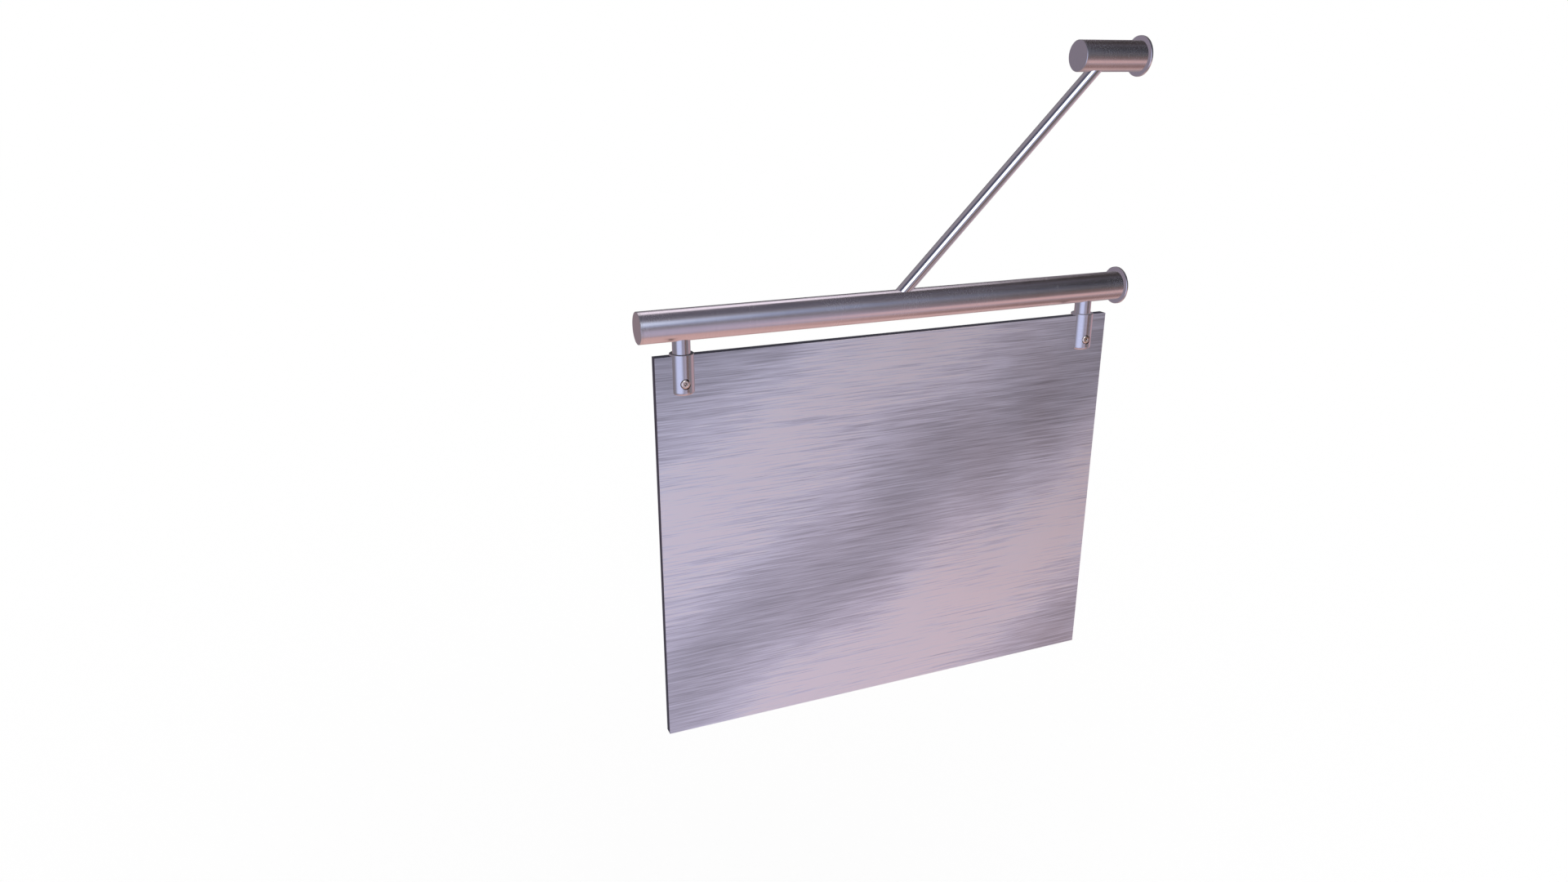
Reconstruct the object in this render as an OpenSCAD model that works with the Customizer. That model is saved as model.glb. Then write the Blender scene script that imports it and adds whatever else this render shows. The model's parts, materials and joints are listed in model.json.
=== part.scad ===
// Wall-mounted projecting sign. A round boom stands out from the wall on a
// flange, a slanting stay rod ties it to a short stub higher up, and two
// slotted hangers under the boom clamp a flat sign panel.
//
// Frame: the wall is the plane x = 0 and the boom runs along -X from it.
// The origin is the centre of the boom flange's back face, and +Z is up.
// The clamp screws' heads face -Y and the set screws are at the back, on +Y.

/* [Sign panel] */
// Width of the panel
panel_w = 500; // [400:0.5:640]
// Height of the panel
panel_h = 398.5; // [250:0.5:600]
// Thickness of the panel with both skins
panel_t = 9.4; // [7:0.1:12]
// Thickness of one metal skin
skin_t = 0.5; // [0.3:0.1:1]
// Gap between the wall and the panel's side edge
panel_wall_gap = 14; // [8:0.5:30]

/* [Boom and stub] */
// Outside diameter of the boom and of the stub
tube_d = 30; // [25:0.5:40]
// Wall of both tubes
tube_wall = 2; // [1.5:0.1:3]
// Length of boom past the panel's outer edge
boom_overhang = 14; // [8:0.5:40]
// Height of the stub's axis over the boom's axis
stub_rise = 231; // [180:0.5:300]
// Thickness of an end cap outside its tube
cap_t = 3; // [2:0.5:5]
// Length of an end cap's spigot
cap_spigot_len = 4; // [3:0.5:8]

/* [Wall flanges] */
// Width of the ring of flange that shows round the tube
flange_rim = 4.6; // [3.5:0.1:8]
// Thickness of a flange
flange_t = 2; // [1.5:0.1:4]
// Length of a flange's spigot inside the tube
flange_spigot_len = 22; // [16:0.5:24]
// Drilled diameter of the M10 thread for the wall stud
wall_thread_d = 8.5; // [6.5:0.1:9]

/* [Stay] */
// Diameter of the stay rod
stay_d = 13; // [10:0.5:16]
// Angle of the stay over the boom
stay_angle = 45; // [40:0.5:55]
// Distance from the wall to where the stay's axis meets the stub's axis
stay_top_x = 41; // [38:0.5:60]

/* [Hangers] */
// Distance from the panel's side edge to a hanger's axis
hanger_inset = 27; // [24:0.5:80]
// Diameter of the slotted body
hanger_d = 23; // [21:0.5:32]
// Height of the slotted body
hanger_h = 38.6; // [34:0.1:60]
// Diameter of the neck
neck_d = 17; // [14:0.5:20]
// Height of the neck under the boom
neck_h = 11.4; // [11:0.1:25]
// Thickness of the slot's roof under the shoulder
slot_roof_t = 1.7; // [1.2:0.1:5]
// Radius of the body's rounded lower edge
foot_round = 3; // [1:0.5:4]
// Distance from the shoulder down to the clamp screw
screw_drop = 27.4; // [20:0.1:29]

/* [Fasteners] */
// Thread of a clamp screw
clamp_thread_d = 5; // [4:0.5:6]
// Head diameter of a clamp screw
clamp_head_d = 9.5; // [9:0.5:12]
// Head height of a clamp screw
clamp_head_h = 2.75; // [2.25:0.05:3.3]
// Width across the flats of a clamp screw's socket
clamp_socket_af = 3; // [2.5:0.5:4]
// Thread of the stud between a hanger and the boom
stud_d = 8; // [6:0.5:8]
// Length of a stud inside the hanger's neck
stud_grip = 10; // [8:0.5:10.5]
// Thread of the set screws
set_screw_d = 5; // [4:0.5:5]
// Width across the flats of a set screw's socket
set_socket_af = 2.5; // [2:0.5:2.5]

/* [Hidden] */
$fn = 96;
// Radial gap round a thread, a spigot or a rod in its hole
fit_gap = 0.05;
// Radial gap round a screw or a stud that passes through without thread
pass_gap = 0.3;
// Gap on each face of the panel in the hangers' slots
slot_gap = 0.1;
// Gap between the slot's roof and the panel's top edge
roof_gap = 0.2;
// Gap at the blind end of a screw's hole
blind_gap = 0.3;
// Gap between an insert and the end cap's spigot
cap_gap = 0.3;
// Chamfer on the rims of caps, flanges, shoulders and screw tips
rim = 0.4;
// How far a cutting shape runs past the surface it opens
over = 1;
// Metal round the stay's hole at the ends of an insert
insert_wall = 4.5;
// Length of the inserts that hold the hangers' studs
stud_insert_len = 24;
// Length of a stud inside its insert
stud_insert_grip = 16;
// Distance of the stay's set screw from its tube's axis
set_screw_rise = 6;
// Depth of a set screw's end under the tube's surface
set_screw_sink = 0.6;
// Metal between the wall stud's thread and the tip of its set screw
set_screw_floor = 3;
// Depth of a set screw's socket
set_socket_depth = 2.5;
// Radial gap round a clamp screw's head in its seat
head_gap = 0.3;
// Depth of a clamp screw's head under the hanger's front
head_sink = 0.25;
// Flat middle of a clamp screw's head, as a share of its diameter
dome_flat = 0.55;
// Straight rim of a clamp screw's head
head_rim = 0.5;
// Depth of a clamp screw's socket, as a share of the head's height
socket_share = 0.62;

tube_r = tube_d / 2;
bore_r = tube_r - tube_wall;
plug_r = bore_r - fit_gap;
flange_r = tube_r + flange_rim;
stay_r = stay_d / 2;
wall_thread_r = wall_thread_d / 2;

boom_len = panel_wall_gap + panel_w + boom_overhang;
stay_foot_x = stay_top_x + stub_rise / tan(stay_angle);
stay_len = stub_rise / sin(stay_angle);

// The insert reaches this far from the axes' meeting point, away from the
// rod and under the rod
insert_heel = stay_r * sin(stay_angle) + insert_wall;
insert_toe = plug_r / tan(stay_angle) + (stay_r + fit_gap) / sin(stay_angle) + insert_wall;
stub_len = stay_top_x + insert_toe + cap_gap + cap_spigot_len + cap_t;
set_screw_shift = set_screw_rise / tan(stay_angle);

shoulder_z = -tube_r - neck_h;
foot_z = shoulder_z - hanger_h;
screw_z = shoulder_z - screw_drop;
slot_top = shoulder_z - slot_roof_t;
slot_w = panel_t + 2 * slot_gap;
panel_top = slot_top - roof_gap;
outer_x = panel_wall_gap + panel_w - hanger_inset;
inner_x = panel_wall_gap + hanger_inset;

seat_r = clamp_head_d / 2 + head_gap;
seat_y = hanger_d / 2 - head_sink - clamp_head_h;
clamp_len = seat_y + hanger_d / 2;
stay_screw_tip = stay_r + fit_gap;
flange_screw_tip = wall_thread_r + set_screw_floor;
flange_screw_x = flange_t + flange_spigot_len / 2;

// ---- shapes that repeat ----------------------------------------------

// Turns a profile about the X axis. Each point is [radius, distance from
// the wall].
module turned_x(profile) {
    rotate([0, -90, 0]) rotate_extrude() polygon(profile);
}

// A round bar along Y from y0 to y1
module bar_y(y0, y1, r) {
    translate([0, y0, 0]) rotate([-90, 0, 0]) cylinder(r = r, h = y1 - y0);
}

// A hexagonal hole along Y from y0 to y1
module hex_y(y0, y1, af) {
    translate([0, y0, 0]) rotate([-90, 0, 0])
        cylinder(d = af / cos(30), h = y1 - y0, $fn = 6);
}

// The tube of the boom or of the stub, between its flange and its cap
module tube(length) {
    turned_x([
        [bore_r, flange_t], [tube_r, flange_t],
        [tube_r, length - cap_t], [bore_r, length - cap_t]
    ]);
}

// A disc on the tube's end with a hollow spigot inside it
module end_cap(length) {
    face = length - cap_t;
    turned_x([
        [0, length], [tube_r - rim, length], [tube_r, length - rim], [tube_r, face],
        [plug_r, face], [plug_r, face - cap_spigot_len],
        [plug_r - tube_wall, face - cap_spigot_len], [plug_r - tube_wall, face], [0, face]
    ]);
}

// A disc against the wall, with a tapped spigot inside the tube
module wall_flange() {
    tip = flange_t + flange_spigot_len;
    difference() {
        turned_x([
            [wall_thread_r, 0], [flange_r, 0], [flange_r, flange_t - rim],
            [flange_r - rim, flange_t], [plug_r, flange_t], [plug_r, tip],
            [wall_thread_r, tip]
        ]);
        set_screw_hole(flange_screw_x, 0, flange_screw_tip);
    }
}

// The hole of a set screw, at x from the wall and z over the tube's axis
module set_screw_hole(x, z, tip) {
    translate([-x, 0, z]) bar_y(tip - blind_gap, tube_r + over, set_screw_d / 2 + fit_gap);
}

// A headless screw with a hexagonal socket in its outer end
module set_screw(x, z, tip) {
    end = sqrt(pow(tube_r, 2) - pow(z, 2)) - set_screw_sink;
    translate([-x, 0, z]) difference() {
        bar_y(tip, end, set_screw_d / 2);
        hex_y(end - set_socket_depth, end + over, set_socket_af);
    }
}

// The stay rod between the two tubes' axes, made larger by a gap
module stay_bar(gap) {
    translate([-stay_foot_x, 0, 0]) rotate([0, 90 - stay_angle, 0])
        translate([0, 0, -gap]) cylinder(r = stay_r + gap, h = stay_len + 2 * gap);
}

// A plug that fills the tube from x0 to x1
module plug(x0, x1) {
    turned_x([[0, x0], [plug_r, x0], [plug_r, x1], [0, x1]]);
}

// The plug inside the boom that a hanger's stud screws into
module hanger_insert(x) {
    top = stud_insert_grip - plug_r + blind_gap;
    difference() {
        plug(x - stud_insert_len / 2, x + stud_insert_len / 2);
        translate([-x, 0, -tube_r])
            cylinder(r = stud_d / 2 + fit_gap, h = tube_r + top);
    }
}

module hanger_stud(x) {
    bottom = -tube_r - stud_grip;
    translate([-x, 0, bottom])
        cylinder(d = stud_d, h = stud_insert_grip - plug_r - bottom);
}

// Outline of a hanger about its axis, from the middle of its foot up
function foot_arc(r, steps = 8) = [
    for (i = [0:steps])
        [r - foot_round * (1 - sin(90 * i / steps)),
         foot_z + foot_round * (1 - cos(90 * i / steps))]
];

module hanger_blank() {
    r = hanger_d / 2;
    rotate_extrude() polygon(concat(
        [[0, foot_z]], foot_arc(r),
        [
            [r, shoulder_z - rim], [r - rim, shoulder_z],
            [neck_d / 2, shoulder_z], [neck_d / 2, 0], [0, 0]
        ]
    ));
}

// A round bar with a neck that fits the boom and a slot for the panel
module hanger(x) {
    half = hanger_d / 2 + over;
    translate([-x, 0, 0]) difference() {
        hanger_blank();
        translate([-half, 0, 0]) rotate([0, 90, 0])
            cylinder(r = tube_r + fit_gap, h = 2 * half);
        translate([-half, -slot_w / 2, foot_z - over])
            cube([2 * half, slot_w, slot_top - foot_z + over]);
        translate([0, 0, -tube_r - stud_grip - blind_gap])
            cylinder(r = stud_d / 2 + fit_gap, h = tube_r + stud_grip);
        translate([0, 0, screw_z]) {
            bar_y(-half, -seat_y, seat_r);
            bar_y(-half, 0, clamp_thread_d / 2 + pass_gap);
            bar_y(0, half, clamp_thread_d / 2 + fit_gap);
        }
    }
}

// Outline of a domed head, from its rim to its flat middle
function head_dome(r, steps = 6) = [
    for (i = [0:steps])
        [r * (dome_flat + (1 - dome_flat) * cos(90 * i / steps)),
         head_rim + (clamp_head_h - head_rim) * sin(90 * i / steps)]
];

// A domed screw with its head towards -Y
module clamp_screw(x) {
    r = clamp_thread_d / 2;
    head_r = clamp_head_d / 2;
    top = -seat_y - clamp_head_h;
    translate([-x, 0, screw_z]) difference() {
        translate([0, -seat_y, 0]) rotate([90, 0, 0]) rotate_extrude() polygon(concat(
            [
                [0, -clamp_len], [r - rim, -clamp_len], [r, rim - clamp_len],
                [r, 0], [head_r, 0]
            ],
            head_dome(head_r), [[0, clamp_head_h]]
        ));
        hex_y(top - over, top + clamp_head_h * socket_share, clamp_socket_af);
    }
}

// One layer of the panel from y0 to y1, with a hole for each clamp screw
module panel_layer(y0, y1) {
    difference() {
        translate([-panel_wall_gap - panel_w, y0, panel_top - panel_h])
            cube([panel_w, y1 - y0, panel_h]);
        for (x = [outer_x, inner_x])
            translate([-x, 0, screw_z])
                bar_y(y0 - over, y1 + over, clamp_thread_d / 2 + pass_gap);
    }
}

// ---- boom ------------------------------------------------------------

module boom_tube() {
    color("silver") difference() {
        tube(boom_len);
        stay_bar(fit_gap);
        set_screw_hole(flange_screw_x, 0, flange_screw_tip);
        set_screw_hole(stay_foot_x - set_screw_shift, set_screw_rise, stay_screw_tip);
        for (x = [outer_x, inner_x])
            translate([-x, 0, -tube_r - over]) cylinder(r = stud_d / 2 + pass_gap, h = tube_r);
    }
}

module boom_end_cap() {
    color("silver") end_cap(boom_len);
}

module boom_wall_flange() {
    color("gainsboro") wall_flange();
}

module boom_flange_set_screw() {
    color("dimgray") set_screw(flange_screw_x, 0, flange_screw_tip);
}

module boom_stay_insert() {
    color("darkgray") difference() {
        plug(stay_foot_x - insert_toe, stay_foot_x + insert_heel);
        stay_bar(fit_gap);
        set_screw_hole(stay_foot_x - set_screw_shift, set_screw_rise, stay_screw_tip);
    }
}

module boom_stay_set_screw() {
    color("dimgray")
        set_screw(stay_foot_x - set_screw_shift, set_screw_rise, stay_screw_tip);
}

// ---- stub and stay ---------------------------------------------------

module stub_tube() {
    color("silver") difference() {
        translate([0, 0, stub_rise]) tube(stub_len);
        stay_bar(fit_gap);
        translate([0, 0, stub_rise]) {
            set_screw_hole(flange_screw_x, 0, flange_screw_tip);
            set_screw_hole(stay_top_x + set_screw_shift, -set_screw_rise, stay_screw_tip);
        }
    }
}

module stub_end_cap() {
    color("silver") translate([0, 0, stub_rise]) end_cap(stub_len);
}

module stub_wall_flange() {
    color("gainsboro") translate([0, 0, stub_rise]) wall_flange();
}

module stub_flange_set_screw() {
    color("dimgray") translate([0, 0, stub_rise])
        set_screw(flange_screw_x, 0, flange_screw_tip);
}

module stub_stay_insert() {
    color("darkgray") difference() {
        translate([0, 0, stub_rise])
            plug(stay_top_x - insert_heel, stay_top_x + insert_toe);
        stay_bar(fit_gap);
        translate([0, 0, stub_rise])
            set_screw_hole(stay_top_x + set_screw_shift, -set_screw_rise, stay_screw_tip);
    }
}

module stub_stay_set_screw() {
    color("dimgray") translate([0, 0, stub_rise])
        set_screw(stay_top_x + set_screw_shift, -set_screw_rise, stay_screw_tip);
}

module stay_rod() {
    color("lightgray") stay_bar(0);
}

// ---- hangers ---------------------------------------------------------

module outer_hanger() {
    color("lightgray") hanger(outer_x);
}

module outer_hanger_stud() {
    color("gray") hanger_stud(outer_x);
}

module outer_hanger_insert() {
    color("darkgray") hanger_insert(outer_x);
}

module outer_clamp_screw() {
    color("tan") clamp_screw(outer_x);
}

module inner_hanger() {
    color("lightgray") hanger(inner_x);
}

module inner_hanger_stud() {
    color("gray") hanger_stud(inner_x);
}

module inner_hanger_insert() {
    color("darkgray") hanger_insert(inner_x);
}

module inner_clamp_screw() {
    color("tan") clamp_screw(inner_x);
}

// ---- panel -----------------------------------------------------------

module panel_front_skin() {
    color("lightsteelblue") panel_layer(-panel_t / 2, skin_t - panel_t / 2);
}

module panel_core() {
    color([0.06, 0.07, 0.12]) panel_layer(skin_t - panel_t / 2, panel_t / 2 - skin_t);
}

module panel_back_skin() {
    color("lightsteelblue") panel_layer(panel_t / 2 - skin_t, panel_t / 2);
}

boom_tube();
boom_end_cap();
boom_wall_flange();
boom_flange_set_screw();
boom_stay_insert();
boom_stay_set_screw();
stub_tube();
stub_end_cap();
stub_wall_flange();
stub_flange_set_screw();
stub_stay_insert();
stub_stay_set_screw();
stay_rod();
outer_hanger();
outer_hanger_stud();
outer_hanger_insert();
outer_clamp_screw();
inner_hanger();
inner_hanger_stud();
inner_hanger_insert();
inner_clamp_screw();
panel_front_skin();
panel_core();
panel_back_skin();
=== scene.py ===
import json
from math import cos, pi, radians, sin

import bmesh
import bpy
from mathutils import Matrix, Vector


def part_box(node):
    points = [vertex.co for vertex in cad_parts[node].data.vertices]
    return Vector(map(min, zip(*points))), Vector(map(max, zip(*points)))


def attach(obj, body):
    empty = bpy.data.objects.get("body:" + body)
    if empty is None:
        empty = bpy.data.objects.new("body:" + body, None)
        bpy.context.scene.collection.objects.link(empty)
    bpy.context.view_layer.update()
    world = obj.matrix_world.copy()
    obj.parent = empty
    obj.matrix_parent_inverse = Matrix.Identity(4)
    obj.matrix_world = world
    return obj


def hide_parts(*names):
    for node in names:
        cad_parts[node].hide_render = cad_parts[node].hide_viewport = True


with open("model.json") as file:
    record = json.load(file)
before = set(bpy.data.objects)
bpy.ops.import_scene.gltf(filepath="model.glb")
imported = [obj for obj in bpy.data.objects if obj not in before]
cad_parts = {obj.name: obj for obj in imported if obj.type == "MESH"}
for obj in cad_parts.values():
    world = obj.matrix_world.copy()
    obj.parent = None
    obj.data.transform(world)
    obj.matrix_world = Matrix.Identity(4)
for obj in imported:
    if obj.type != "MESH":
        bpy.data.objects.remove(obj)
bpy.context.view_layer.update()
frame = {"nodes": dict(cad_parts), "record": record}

MM = 0.001
NODES = frame["nodes"]

# Thread pitch of the clamp screws and set screws, as M5 screws have
PITCH = 0.8 * MM


# ---- node helpers ----------------------------------------------------

class Shader:
    """A node tree with short calls for the few nodes that the materials share."""

    def __init__(self, tree):
        self.tree = tree
        tree.nodes.clear()

    def node(self, kind, values=None, **settings):
        made = self.tree.nodes.new(kind)
        for name, value in settings.items():
            setattr(made, name, value)
        for key, value in (values or {}).items():
            self.put(made, key, value)
        return made

    def put(self, node, key, value):
        """Sets an input to a constant, or links it if value is another node's output."""
        if isinstance(value, bpy.types.NodeSocket):
            self.tree.links.new(value, node.inputs[key])
        else:
            node.inputs[key].default_value = value

    def math(self, operation, *values):
        made = self.node("ShaderNodeMath", operation=operation)
        for i, value in enumerate(values):
            self.put(made, i, value)
        return made.outputs[0]

    def spread(self, value, low, high, smooth=False):
        """Maps a noise's usual range onto low to high."""
        made = self.node("ShaderNodeMapRange", {
            "Value": value, "From Min": NOISE_LOW, "From Max": NOISE_HIGH,
            "To Min": low, "To Max": high})
        if smooth:
            made.interpolation_type = "SMOOTHSTEP"
        return made.outputs[0]

    def step(self, value, start, end):
        """0 below start and 1 above end, smooth between them."""
        made = self.node("ShaderNodeMapRange", {"Value": value, "From Min": start, "From Max": end},
                         interpolation_type="SMOOTHSTEP")
        return made.outputs[0]

    def mix(self, fac, a, b, blend="MIX"):
        made = self.node("ShaderNodeMix", data_type="RGBA", blend_type=blend)
        for i, value in ((0, fac), (6, a), (7, b)):
            self.put(made, i, value)
        return made.outputs[2]

    def place(self, scale=(1, 1, 1)):
        """The point on the object, in metres, stretched by scale."""
        point = self.node("ShaderNodeTexCoord").outputs["Object"]
        made = self.node("ShaderNodeMapping", {"Vector": point, "Scale": scale})
        return made.outputs[0]

    def noise(self, where, scale, detail=2.0, rough=0.5):
        made = self.node("ShaderNodeTexNoise", {
            "Vector": where, "Scale": scale, "Detail": detail, "Roughness": rough})
        return made.outputs["Fac"]


# Most of a noise texture's values lie between these
NOISE_LOW, NOISE_HIGH = 0.3, 0.7


def rgb(r, g, b):
    return (r, g, b, 1.0)


# ---- materials -------------------------------------------------------

# Finds edges for a lighter colour that is partly wear and partly a painted highlight
def edge_wear_and_glint(sh, radius):
    """1 on sharp edges and 0 on flat stretches, from the bevelled normal."""
    bevel = sh.node("ShaderNodeBevel", {"Radius": radius}, samples=4)
    normal = sh.node("ShaderNodeNewGeometry").outputs["Normal"]
    dot = sh.node("ShaderNodeVectorMath", operation="DOT_PRODUCT")
    sh.put(dot, 0, bevel.outputs[0])
    sh.put(dot, 1, normal)
    return sh.step(dot.outputs["Value"], 0.995, 0.88)


# Painted shade for narrow places, and a light colour for edges, partly wear and partly a painted
# highlight
PAINTED_SHADE = rgb(0.03, 0.025, 0.022)
WORN_AND_GLINT = rgb(0.92, 0.91, 0.9)
# How strong the wide streaks are beside the narrow ones
COARSE_SHARE = 0.35
# How far the grain changes the roughness, as a share of it
ROUGH_SHARE = 0.05


def metal(name, base, roughness, grain, grain_scale, streak=0.05, bump=0.1,
          edge=0.12, edge_radius=0.4 * MM, reflection_paint=None, shade_reach=0):
    """Bare metal with grain. grain stretches the pattern along the finish's direction.

    An optional painted reflection multiplies the colour, and painted shade darkens it where walls lie
    within the given distance.
    """
    material = bpy.data.materials.new(name)
    material.use_nodes = True
    sh = Shader(material.node_tree)
    fine = sh.noise(sh.place(grain), grain_scale, 3.0, 0.6)
    coarse = sh.noise(sh.place(grain), grain_scale * 0.4, 2.0, 0.5)
    cloud = sh.noise(sh.place(), 14.0, 3.0, 0.55)
    streaks = sh.math("ADD", sh.spread(fine, -streak, streak),
                      sh.spread(coarse, -streak * COARSE_SHARE, streak * COARSE_SHARE))
    value = sh.math("ADD", 1.0, sh.math("ADD", streaks, sh.spread(cloud, -0.03, 0.03)))
    # A painted reflection, when given, multiplies the colour here
    if reflection_paint:
        value = sh.math("MULTIPLY", value, reflection_paint(sh))
    # Edges get a lighter colour here: partly wear, partly a painted highlight
    worn_and_glint = sh.math("MULTIPLY", edge_wear_and_glint(sh, edge_radius), edge)
    colour = sh.mix(1.0, rgb(*base), sh.node("ShaderNodeCombineColor", {
        "Red": value, "Green": value, "Blue": value}).outputs[0], "MULTIPLY")
    colour = sh.mix(worn_and_glint, colour, WORN_AND_GLINT)
    # Painted shade: the colour goes dark where walls lie within the given distance, as in sockets and
    # seats
    if shade_reach:
        open_air = sh.node("ShaderNodeAmbientOcclusion", {"Distance": shade_reach}).outputs["AO"]
        colour = sh.mix(sh.step(open_air, 0.35, 0.8), PAINTED_SHADE, colour)
    rough = sh.math("ADD", sh.spread(fine, roughness * (1 - ROUGH_SHARE), roughness * (1 + ROUGH_SHARE)),
                    sh.spread(cloud, -0.03, 0.03))
    height = sh.node("ShaderNodeBump", {"Height": fine, "Strength": bump, "Distance": 0.05 * MM})
    surface = sh.node("ShaderNodeBsdfPrincipled", {
        "Base Color": colour, "Metallic": 1.0, "Roughness": rough,
        "Normal": height.outputs[0]})
    sh.node("ShaderNodeOutputMaterial", {"Surface": surface.outputs[0]})
    return material


# The panel's painted reflection, in metres and radians: soft slanting bands, and lighter lower down.
# BAND_DEPTH is a share of the colour's lightness, and the slope set beside it is that share per metre.
BAND_PERIOD, BAND_ANGLE, BAND_PHASE = 0.30, radians(123), radians(-128)
BAND_DEPTH, BAND_WANDER, REFLECTION_SLOPE = 0.28, 0.5, -0.3


def panel_painted_reflection(sh):
    """How light the painted reflection makes the panel at each place, about 1 on average."""
    position = sh.node("ShaderNodeTexCoord").outputs["Object"]
    across = sh.node("ShaderNodeVectorMath", operation="DOT_PRODUCT")
    sh.put(across, 0, position)
    sh.put(across, 1, Vector((cos(BAND_ANGLE), 0, sin(BAND_ANGLE))))
    turn = sh.math("MULTIPLY", across.outputs["Value"], 2 * pi / BAND_PERIOD)
    wander = sh.spread(sh.noise(sh.place(), 6.0, 2.0, 0.4), -BAND_WANDER, BAND_WANDER)
    turn = sh.math("ADD", turn, sh.math("ADD", wander, BAND_PHASE))
    band = sh.math("MULTIPLY", sh.math("COSINE", turn), BAND_DEPTH)
    height = sh.node("ShaderNodeSeparateXYZ", {"Vector": position}).outputs["Z"]
    low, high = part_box("panel_front_skin")
    middle = (low.z + high.z) / 2
    slope = sh.math("MULTIPLY", sh.math("SUBTRACT", height, middle), REFLECTION_SLOPE)
    return sh.math("ADD", 1.0, sh.math("ADD", band, slope))


def dark_core(name):
    """The sandwich sheet's dark filling, with faint saw lines on its cut edge."""
    material = bpy.data.materials.new(name)
    material.use_nodes = True
    sh = Shader(material.node_tree)
    saw = sh.noise(sh.place((1, 6, 1)), 900.0, 3.0, 0.6)
    cloud = sh.noise(sh.place(), 60.0, 3.0, 0.5)
    colour = sh.mix(cloud, rgb(0.009, 0.012, 0.03), rgb(0.018, 0.022, 0.05))
    height = sh.node("ShaderNodeBump", {"Height": saw, "Strength": 0.25, "Distance": 0.05 * MM})
    surface = sh.node("ShaderNodeBsdfPrincipled", {
        "Base Color": colour, "Roughness": sh.spread(saw, 0.38, 0.55),
        "Normal": height.outputs[0]})
    sh.node("ShaderNodeOutputMaterial", {"Surface": surface.outputs[0]})
    return material


ALONG_X = (0.02, 1, 1)
ROUND_X = (1, 0.05, 0.05)
ROUND_Z = (0.05, 0.05, 1)
EVEN = (1, 1, 1)

MATERIALS = {
    "brushed_tube": metal("tube_metal", (0.65, 0.63, 0.65), 0.26, ROUND_X, 900.0, 0.02, 0.01),
    "turned_cap": metal("cap_metal", (0.6, 0.59, 0.6), 0.3, EVEN, 1200.0, 0.03, 0.08),
    "flange_metal": metal("flange_metal", (0.68, 0.66, 0.68), 0.28, EVEN, 1200.0, 0.03, 0.08),
    "polished_rod": metal("rod_metal", (0.78, 0.77, 0.79), 0.12, EVEN, 300.0, 0.01, 0.02),
    "hanger_metal": metal("hanger_metal", (0.64, 0.63, 0.65), 0.24, ROUND_Z, 900.0, 0.02, 0.015),
    # The clamp screws get painted shade in their sockets and seats, within 2 mm of walls
    "clamp_screw_metal": metal("screw_metal", (0.8, 0.7, 0.6), 0.2, EVEN, 900.0, 0.03, 0.05,
                               shade_reach=2.0 * MM),
    "stud_metal": metal("stud_metal", (0.6, 0.6, 0.61), 0.35, EVEN, 900.0),
    "insert_metal": metal("insert_metal", (0.62, 0.62, 0.63), 0.4, ROUND_X, 900.0),
    "set_screw_metal": metal("set_screw_metal", (0.42, 0.41, 0.41), 0.35, EVEN, 900.0),
    # The panel gets a painted reflection: slanting bands, and lighter lower down
    "panel_skin": metal("panel_metal", (0.82, 0.86, 0.92), 0.46, ALONG_X, 900.0, 0.26, 0.1,
                        reflection_paint=panel_painted_reflection),
    "panel_core": dark_core("core_dark"),
}


def paint_cad_nodes():
    """Gives each CAD node its slot's material, and keeps it out of other parts' reflections."""
    for part in frame["record"]["subparts"]:
        NODES[part["node"]].visible_glossy = False
        mesh = NODES[part["node"]].data
        mesh.materials.clear()
        mesh.materials.append(MATERIALS[part["material_slot"]])


# ---- screws with real threads ----------------------------------------

def new_piece(name, mesh, body, slot, node):
    piece = bpy.data.objects.new(name, mesh)
    bpy.context.scene.collection.objects.link(piece)
    mesh.materials.append(MATERIALS[slot])
    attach(piece, body)
    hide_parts(node)
    return piece


def thread_rows(radius, pitch, start, end, sides):
    """Rows of [angle, radius, height] for a threaded length, from start to end.

    The ridge climbs one pitch a turn, and fades out over the last pitch at each end.
    """
    depth = 0.6 * pitch
    steps = 8
    count = int(round((end - start) / pitch * steps))
    rows = []
    for k in range(count + 1):
        height = start + (end - start) * k / count
        fade = min(1.0, (height - start) / pitch, (end - height) / pitch)
        row = []
        for i in range(sides):
            phase = (height / pitch - i / sides) % 1.0
            ridge = 1.0 - abs(2.0 * phase - 1.0)
            row.append((2 * pi * i / sides, radius - depth * (1.0 - ridge) * fade, height))
        rows.append(row)
    return rows


def ring_row(radius, height, sides):
    return [(2 * pi * i / sides, radius, height) for i in range(sides)]


def hex_row(across_flats, height, sides):
    """A hexagon's outline, with its sides' points spread evenly by angle."""
    row = []
    for i in range(sides):
        angle = 2 * pi * i / sides
        off_flat = (angle + pi / 6) % (pi / 3) - pi / 6
        row.append((angle, across_flats / 2 / cos(off_flat), height))
    return row


def skin_rows(name, rows, smooth_angle=radians(35)):
    """A closed mesh through rows of [angle, radius, height] about the Y axis, heights towards +Y."""
    bm = bmesh.new()
    rings = [[bm.verts.new((r * cos(a), h, r * sin(a))) for a, r, h in row] for row in rows]
    for low, high in zip(rings, rings[1:]):
        for i in range(len(low)):
            j = (i + 1) % len(low)
            bm.faces.new((low[i], low[j], high[j], high[i]))
    bm.faces.new(rings[0][::-1])
    bm.faces.new(rings[-1])
    bmesh.ops.recalc_face_normals(bm, faces=bm.faces)
    for face in bm.faces:
        face.smooth = True
    mesh = bpy.data.meshes.new(name)
    bm.to_mesh(mesh)
    bm.free()
    mesh.set_sharp_from_angle(angle=smooth_angle)
    return mesh


def moved_to(x, z):
    return Matrix.Translation((x, 0, z))


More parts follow.
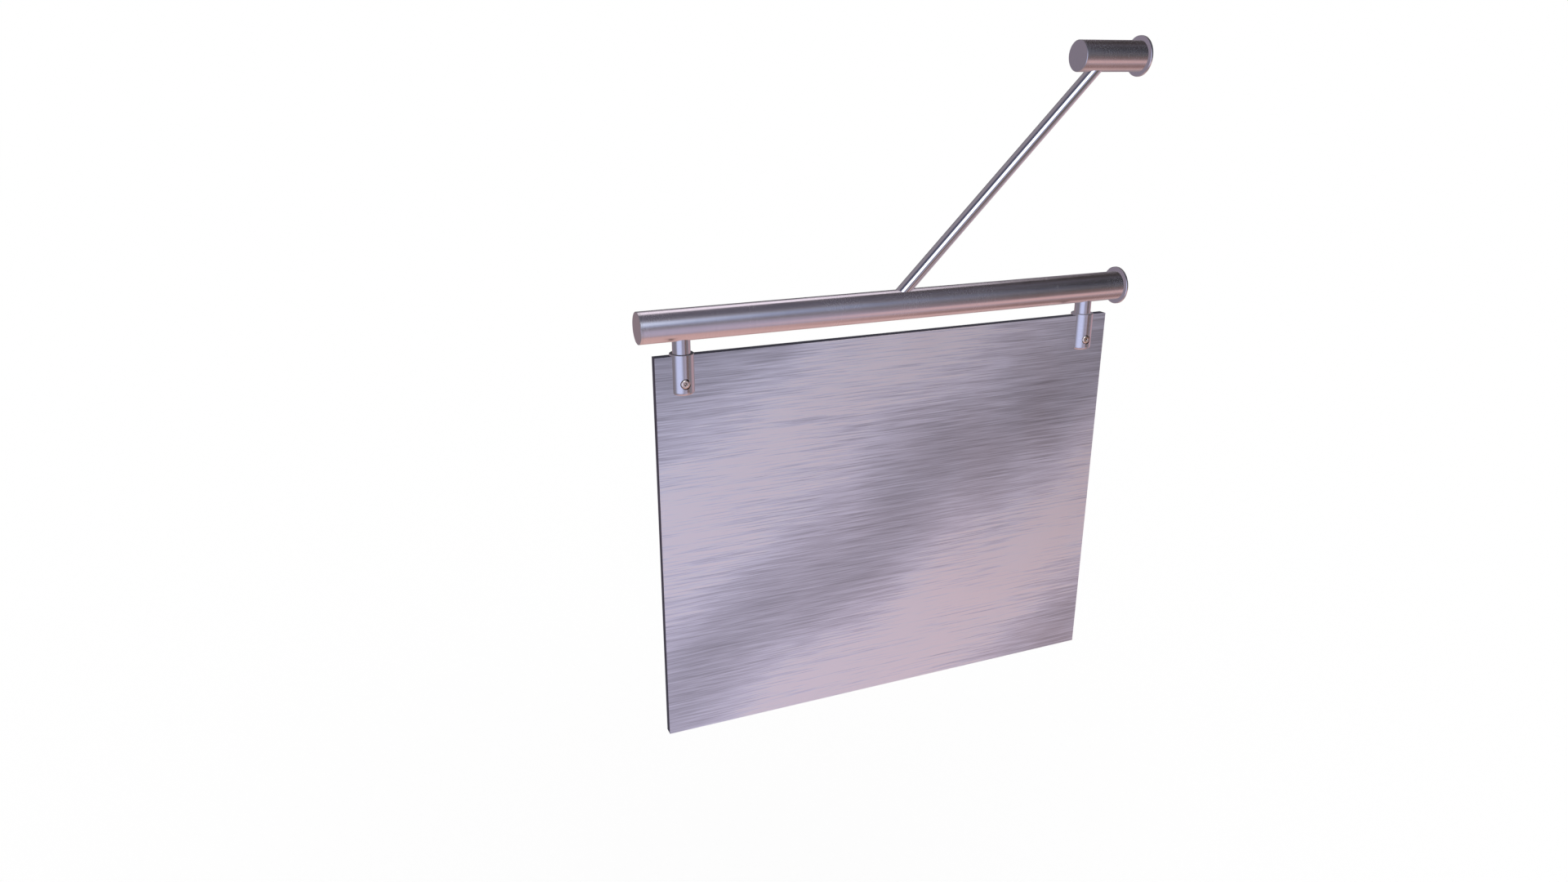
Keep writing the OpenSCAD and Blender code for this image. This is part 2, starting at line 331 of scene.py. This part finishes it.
def clamp_screw(prefix):
    """A button head screw: threaded shank, domed head and a hexagonal socket."""
    node = prefix + "_clamp_screw"
    low, high = (Vector(c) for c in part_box(node))
    centre = (low + high) / 2
    head_r = (high.x - low.x) / 2
    head_h = 2.75 * MM
    seat = low.y + head_h
    shank_r = 2.5 * MM
    socket = 3.0 * MM
    sides = 48
    rim, flat, chamfer = 0.5 * MM, 0.55, 0.35 * MM
    rows = [hex_row(socket, low.y + 1.7 * MM, sides), hex_row(socket, low.y + 0.25 * MM, sides),
            ring_row(socket / 2 / cos(pi / 6) + 0.12 * MM, low.y, sides)]
    arc = 8
    for k in range(arc + 1):
        turn = pi / 2 * k / arc
        rows.append(ring_row(head_r * (flat + (1 - flat) * sin(turn)),
                             low.y + (head_h - rim) * (1 - cos(turn)), sides))
    rows.append(ring_row(head_r, seat - 0.1 * MM, sides))
    rows.append(ring_row(head_r - 0.1 * MM, seat, sides))
    rows.append(ring_row(shank_r, seat, sides))
    rows.extend(thread_rows(shank_r, PITCH, seat + 0.6 * MM, high.y - chamfer, sides))
    rows.append(ring_row(shank_r - chamfer, high.y, sides))
    mesh = skin_rows(node + "_mesh", rows)
    piece = new_piece(node + "_threaded", mesh, prefix + "_screw", "clamp_screw_metal", node)
    mesh.transform(moved_to(centre.x, centre.z))
    return piece


def set_screw(node):
    """A headless screw: a thread all along, a socket at the outer end and a cupped tip."""
    low, high = (Vector(c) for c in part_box(node))
    centre = (low + high) / 2
    radius = (high.x - low.x) / 2
    socket = 2.5 * MM
    sides = 40
    chamfer = 0.35 * MM
    cup = 0.5 * MM
    rows = [ring_row(0.6 * MM, low.y + cup, sides), ring_row(1.3 * MM, low.y, sides),
            ring_row(radius - 2 * chamfer, low.y, sides)]
    rows.extend(thread_rows(radius, PITCH, low.y + 2 * chamfer, high.y - chamfer, sides))
    rows.append(ring_row(radius - chamfer, high.y, sides))
    rows.append(ring_row(socket / 2 / cos(pi / 6) + 0.1 * MM, high.y, sides))
    rows.append(hex_row(socket, high.y - 0.2 * MM, sides))
    rows.append(hex_row(socket, high.y - 2.4 * MM, sides))
    mesh = skin_rows(node + "_mesh", rows)
    piece = new_piece(node + "_threaded", mesh, "frame", "set_screw_metal", node)
    mesh.transform(moved_to(centre.x, centre.z))
    return piece


# ---- stage, light and camera -----------------------------------------

# What bare metal sees round it. A direction is (towards +X, towards +Y, up), and a lobe is
# (direction, half width, softness, colour), with angles in degrees. Later lobes cover earlier ones.
AROUND = rgb(0.3, 0.27, 0.31)
LOBES = [
    # under the sign: warm light from a reddish ground
    ((0.2, 0.1, -1.0), 22, 24, (0.85, 0.55, 0.52)),
    ((0.62, -0.1, -0.76), 6, 14, (0.32, 0.2, 0.19)),
    ((0.36, -0.79, -0.5), 12, 18, (0.6, 0.54, 0.7)),
    ((0.58, -0.62, -0.55), 4, 12, (0.95, 0.6, 0.57)),
    # overhead: a dark ceiling, darkest towards the right
    ((0.25, 0.0, 1.0), 18, 24, (0.16, 0.15, 0.19)),
    ((0.8, -0.35, 0.35), 18, 18, (0.02, 0.02, 0.02)),
    ((0.75, 0.3, 0.6), 16, 18, (0.06, 0.05, 0.05)),
    ((-0.45, -0.4, 0.8), 12, 16, (0.1, 0.1, 0.15)),
    ((0.3, 0.58, 0.75), 7, 12, (1.5, 1.36, 1.5)),
    # behind: dark over the horizon and rosy under it
    ((0.3, 0.93, 0.08), 12, 12, (0.025, 0.025, 0.03)),
    ((0.36, 0.75, -0.55), 8, 12, (0.62, 0.42, 0.4)),
    ((-0.24, 0.94, -0.23), 8, 14, (0.36, 0.26, 0.28)),
    ((-0.62, 0.78, 0.0), 10, 16, (0.32, 0.28, 0.35)),
    # right: brown, then rosy towards the wall
    ((0.66, -0.74, 0.0), 4, 12, (0.1, 0.1, 0.1)),
    ((0.6, -0.77, -0.24), 4, 12, (0.2, 0.13, 0.11)),
    ((0.95, 0.18, -0.26), 12, 14, (0.62, 0.43, 0.48)),
    # front: a bluish glow, a white lamp, and a wide bluish window on the left
    ((0.17, -0.86, 0.48), 7, 16, (0.34, 0.4, 0.62)),
    ((-0.1, -0.83, 0.55), 8, 15, (2.4, 2.6, 3.0)),
    ((-0.64, -0.74, -0.2), 10, 34, (0.85, 0.91, 1.28)),
]


def lobe_mask(sh, towards, direction, width, softness):
    """1 inside a cone round direction, and 0 outside it and its soft edge."""
    dot = sh.node("ShaderNodeVectorMath", operation="DOT_PRODUCT")
    sh.put(dot, 0, towards)
    sh.put(dot, 1, Vector(direction).normalized())
    return sh.step(dot.outputs["Value"], cos(radians(width + softness)), cos(radians(width)))


def studio_world():
    """Plain white for the eye and for soft light, and the coloured lobes for reflections only.

    Sampling of the world is off, because it would mix the white into the reflections.
    """
    world = bpy.data.worlds.new("studio")
    bpy.context.scene.world = world
    world.cycles.sampling_method = "NONE"
    world.use_nodes = True
    sh = Shader(world.node_tree)
    towards = sh.node("ShaderNodeTexCoord").outputs["Generated"]
    seen = AROUND
    for direction, width, softness, colour in LOBES:
        inside = lobe_mask(sh, towards, direction, width, softness)
        seen = sh.mix(inside, seen, rgb(*colour))
    glossy = sh.node("ShaderNodeLightPath").outputs["Is Glossy Ray"]
    colour = sh.mix(glossy, rgb(1.0, 1.0, 1.0), seen)
    background = sh.node("ShaderNodeBackground", {"Color": colour, "Strength": 1.0})
    sh.node("ShaderNodeOutputWorld", {"Surface": background.outputs[0]})


def floor():
    """A wide pale floor, well below the sign, which hangs high on a wall."""
    drop = 1.2
    half = 30.0
    mesh = bpy.data.meshes.new("floor_mesh")
    corners = [(-half, -half, -drop), (half, -half, -drop), (half, half, -drop), (-half, half, -drop)]
    mesh.from_pydata(corners, [], [(0, 1, 2, 3)])
    plane = bpy.data.objects.new("floor", mesh)
    bpy.context.scene.collection.objects.link(plane)
    plane.visible_glossy = False
    material = bpy.data.materials.new("floor_pale")
    material.use_nodes = True
    sh = Shader(material.node_tree)
    surface = sh.node("ShaderNodeBsdfDiffuse", {"Color": rgb(1.0, 1.0, 1.0)})
    sh.node("ShaderNodeOutputMaterial", {"Surface": surface.outputs[0]})
    mesh.materials.append(material)


# The camera's sensor and lens in millimetres, its place in metres, and its aim in degrees
SENSOR, LENS = 36.0, 24.44
EYE = (-0.7607, -0.9123, 0.2217)
DOWN, TOWARDS_RIGHT = 19.41, 22.37


def camera():
    """Seen from the front left and above the boom."""
    data = bpy.data.cameras.new("camera")
    data.sensor_width = SENSOR
    data.lens = LENS
    eye = bpy.data.objects.new("camera", data)
    bpy.context.scene.collection.objects.link(eye)
    eye.location = EYE
    eye.rotation_euler = (radians(90 - DOWN), 0, radians(-TOWARDS_RIGHT))
    bpy.context.scene.camera = eye


paint_cad_nodes()
for side in ("outer", "inner"):
    clamp_screw(side)
for holder in ("boom_flange", "boom_stay", "stub_flange", "stub_stay"):
    set_screw(holder + "_set_screw")
studio_world()
floor()
camera()
bpy.context.scene.view_settings.view_transform = "Standard"
